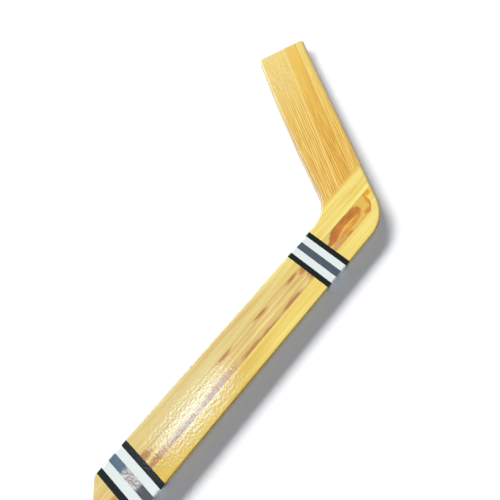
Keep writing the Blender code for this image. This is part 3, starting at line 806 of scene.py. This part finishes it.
def printed_film(name, hex_colour):
    """Printed polyester film: one even colour, a little cloudy, with no sheen but the lacquer's."""
    material, tree, board = new_material(name)
    cloud = stretched_noise(tree, board, CLOUD_MM, CLOUD_MM, 5.0)
    shade = [CLOUD_SHADE * channel for channel in linear(hex_colour)[:3]] + [1.0]
    colour = add(tree, "Mix", {0: cloud, 6: linear(hex_colour), 7: shade}, data_type="RGBA").outputs[2]
    lacquer(tree, board, colour)
    tree.nodes["Principled BSDF"].inputs["Specular IOR Level"].default_value = 0.0
    return material


def silver_foil(name):
    """Aluminised foil, its colour a painted reflection of the room: blue-grey, greyer on the back side.
    Where crinkled over the shaft it breaks into bright and dark facets, paled by a painted highlight."""
    material, tree, board = new_material(name)
    # Painted reflection: blue-grey like the bluish room, greyed on the back side
    grey = patch_share(tree, board, (PAINTED_GREY_REFLECTION,), soft=0.2)
    colour = add(tree, "Mix", {
        0: grey, 6: linear("7C8FA0"), 7: linear("707070")}, data_type="RGBA").outputs[2]
    # Painted highlight: a paler colour where the foil is crinkled under the glare
    share = patch_share(tree, board, (CRINKLE_AND_PAINTED_HIGHLIGHT,), soft=0.3)
    colour = add(tree, "Mix", {0: share, 6: colour, 7: linear("B4B0AC")}, data_type="RGBA").outputs[2]
    lacquer(tree, board, colour)
    crinkle = add(tree, "TexNoise", {
        "Vector": board, "Scale": 1 / CRINKLE_MM, "Detail": 1.5}).outputs["Fac"]
    share = add(tree, "Math", {
        0: share, 1: 1 - CRINKLE_ON_FLAT, 2: CRINKLE_ON_FLAT}, operation="MULTIPLY_ADD").outputs[0]
    crinkle = add(tree, "Math", {0: crinkle, 1: share}, operation="MULTIPLY").outputs[0]
    frost = add(tree, "Math", {
        0: share, 1: CRINKLE_FROST, 2: FOIL_ROUGHNESS}, operation="MULTIPLY_ADD").outputs[0]
    relief = add(tree, "Bump", {
        "Height": crinkle, "Strength": 1.0, "Distance": CRINKLE_DEPTH}).outputs[0]
    shader = tree.nodes["Principled BSDF"]
    tree.links.new(relief, shader.inputs["Normal"])
    shader.inputs["Metallic"].default_value = 1.0
    tree.links.new(frost, shader.inputs["Roughness"])
    return material


films = {
    "black": (printed_film("black_film", "0C171A"), "black_film"),
    "white": (printed_film("white_film", "ECF6F4"), "white_film"),
    "silver": (silver_foil("silver_foil"), "silver_film"),
}
for band in ("shoulder_band", "heel_band"):
    for stripe in ("black_1", "white_1", "silver", "white_2", "black_2"):
        node = f"{band}_{stripe}"
        low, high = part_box(node)
        film_low = low[0] - (FILM_REACH if stripe != "black_1" else 0)
        film_high = high[0] + (FILM_REACH if stripe != "black_2" else 0)
        profile = [
            (film_high, FILM_THICKNESS), (film_high, FILM_EDGE), (film_high - FILM_EDGE, 0.0),
            (film_low + FILM_EDGE, 0.0), (film_low, FILM_EDGE), (film_low, FILM_THICKNESS)]
        mesh = new_mesh(node.replace("band", "film"), *round_the_paddle(profile, FILM_SEAM))
        mesh.shade_smooth()
        mesh.set_sharp_from_angle(angle=SHARP_ANGLE)
        film = bpy.data.objects.new(mesh.name, mesh)
        bpy.context.scene.collection.objects.link(film)
        material, slot_name = films[stripe.split("_")[0]]
        finish(film, material, node)


# Studio: a white floor, a dim ceiling with a bluish window in it, and a long low strip of lamps on the
# toe side that lights only the floor and leaves the stick's soft wide shadow on it. A key lamp and a
# fill lamp light the stick, and small ceiling panels glare in its lacquer.
FLOOR_SIZE = 6.0
FLOOR_DROP = 0.0003
FLOOR_GREY = 0.85
FLOOR_GLOW = 0.183
STRIP_TURNS = (-24, -12, 0, 12, 24)
STRIP_HEIGHT = math.radians(31.0)
STRIP_STRENGTH = 1.13
STRIP_WIDTH = 15
PANEL_SIZES = ((0.36, 0.05), (0.2, 0.03))
PANEL_BRIGHTNESS = 16.0
PANEL_PLACE = (0.016, 0.146, 0.977)
PANEL_TURN = (-8.5, -8.5, 0.0)
# Bluish light keeps the glare white over yellow wood, and the films need none of it
PANEL_ON_WOOD = (0.4, 0.72, 1.0)
PANEL_ON_FILM = (1.1, 1.0, 1.0)
DIM_CEILING = (0.03, 0.03, 0.03, 1)
BLUISH_WINDOW = (0.07, 0.15, 0.23, 1)
WHITE_WALLS = (1, 1, 1, 1)
EVEN_LIGHT = (0.1, 0.1, 0.1, 1)
CAMERA_PLACE = (0.2313, -0.10265, 0.6105)
CAMERA_TURN = (21.6826, 5.0097, -48.7251)
CAMERA_LENS_MM = 29.0947

floor_square = np.array([(-1, -1), (1, -1), (1, 1), (-1, 1)]) * FLOOR_SIZE
floor_mesh = new_mesh("floor", np.column_stack([floor_square, np.full(4, -FLOOR_DROP)]), [[0, 1, 2, 3]])
floor = bpy.data.objects.new("floor", floor_mesh)
bpy.context.scene.collection.objects.link(floor)
# Matt white paint: no gloss, and a faint glow of its own, which keeps the shadow a pale cool grey
paint = bpy.data.materials.new("white_floor")
paint.use_nodes = True
floor_shader = paint.node_tree.nodes["Principled BSDF"]
floor_shader.inputs["Base Color"].default_value = (FLOOR_GREY, FLOOR_GREY, FLOOR_GREY, 1)
floor_shader.inputs["Roughness"].default_value = 1.0
floor_shader.inputs["Specular IOR Level"].default_value = 0.0
floor_shader.inputs["Emission Color"].default_value = (0.95, 1, 1.1, 1)
floor_shader.inputs["Emission Strength"].default_value = FLOOR_GLOW
floor_mesh.materials.append(paint)

only_floor = bpy.data.collections.new("only_floor")
only_floor.objects.link(floor)
off_floor = bpy.data.collections.new("off_floor")
off_floor.objects.link(floor)
off_floor.collection_objects[0].light_linking.link_state = "EXCLUDE"


def far_lamp(name, towards, strength, width, receivers):
    """Lamp so far off that its light is even: the direction to it, its strength and its width."""
    light = bpy.data.lights.new(name, "SUN")
    light.energy = strength
    light.angle = math.radians(width)
    lamp = bpy.data.objects.new(name, light)
    lamp.rotation_euler = Vector(towards).to_track_quat("Z", "Y").to_euler()
    lamp.light_linking.receiver_collection = receivers
    bpy.context.scene.collection.objects.link(lamp)


for turn in STRIP_TURNS:
    side = (-math.sin(math.radians(turn)), math.cos(math.radians(turn)), math.tan(STRIP_HEIGHT))
    far_lamp(f"strip_lamp_{turn}", side, STRIP_STRENGTH, STRIP_WIDTH, only_floor)
far_lamp("key_lamp", (0.1, 1.0, 0.8), strength=3.31, width=40, receivers=off_floor)
far_lamp("fill_lamp", (0, 0, 1), strength=0.75, width=120, receivers=off_floor)

on_films = bpy.data.collections.new("on_films")
on_wood = bpy.data.collections.new("on_wood")
for piece in bpy.context.scene.objects:
    if "_film_" in piece.name:
        on_films.objects.link(piece)
    elif piece.type == "MESH" and piece != floor:
        on_wood.objects.link(piece)
for receivers, colour in ((on_wood, PANEL_ON_WOOD), (on_films, PANEL_ON_FILM)):
    for length, width in PANEL_SIZES:
        panel = bpy.data.lights.new("ceiling_panel", "AREA")
        panel.shape = "RECTANGLE"
        panel.size = length
        panel.size_y = width
        panel.energy = PANEL_BRIGHTNESS * math.pi * length * width
        panel.color = colour
        panel_lamp = bpy.data.objects.new("ceiling_panel", panel)
        panel_lamp.location = PANEL_PLACE
        panel_lamp.rotation_euler = [math.radians(angle) for angle in PANEL_TURN]
        panel_lamp.light_linking.receiver_collection = receivers
        panel_lamp.visible_diffuse = False
        bpy.context.scene.collection.objects.link(panel_lamp)

# Room: what the camera and the gloss see is the dim ceiling and its window above white walls, and what
# lights the object is an even grey
world = bpy.data.worlds.new("studio")
bpy.context.scene.world = world
world.use_nodes = True
tree = world.node_tree
tree.nodes.clear()
ray = add(tree, "LightPath").outputs
direct = add(tree, "Math", {
    0: ray["Is Camera Ray"], 1: ray["Is Glossy Ray"]}, operation="MAXIMUM").outputs[0]
direct = add(tree, "Math", {0: direct, 1: ray["Is Transmission Ray"]}, operation="MAXIMUM").outputs[0]
across, _, up = add(tree, "SeparateXYZ", {0: add(tree, "TexCoord").outputs["Generated"]}).outputs
window = add(tree, "MapRange", {0: across, 1: 0.1, 2: -0.4}).outputs[0]
ceiling = add(tree, "Mix", {
    0: window, 6: DIM_CEILING, 7: BLUISH_WINDOW}, data_type="RGBA").outputs[2]
walls = add(tree, "MapRange", {0: up, 1: 0.55, 2: 0.25}).outputs[0]
room = add(tree, "Mix", {0: walls, 6: ceiling, 7: WHITE_WALLS}, data_type="RGBA").outputs[2]
room = add(tree, "Mix", {0: direct, 6: EVEN_LIGHT, 7: room}, data_type="RGBA").outputs[2]
sky = add(tree, "Background", {0: room, 1: 1.0}).outputs[0]
add(tree, "OutputWorld", {0: sky})

camera = bpy.data.cameras.new("camera")
camera.sensor_width = 36.0
camera.lens = CAMERA_LENS_MM
camera_object = bpy.data.objects.new("camera", camera)
camera_object.location = CAMERA_PLACE
camera_object.rotation_euler = [math.radians(angle) for angle in CAMERA_TURN]
bpy.context.scene.collection.objects.link(camera_object)
bpy.context.scene.camera = camera_object
bpy.context.scene.view_settings.view_transform = "Standard"
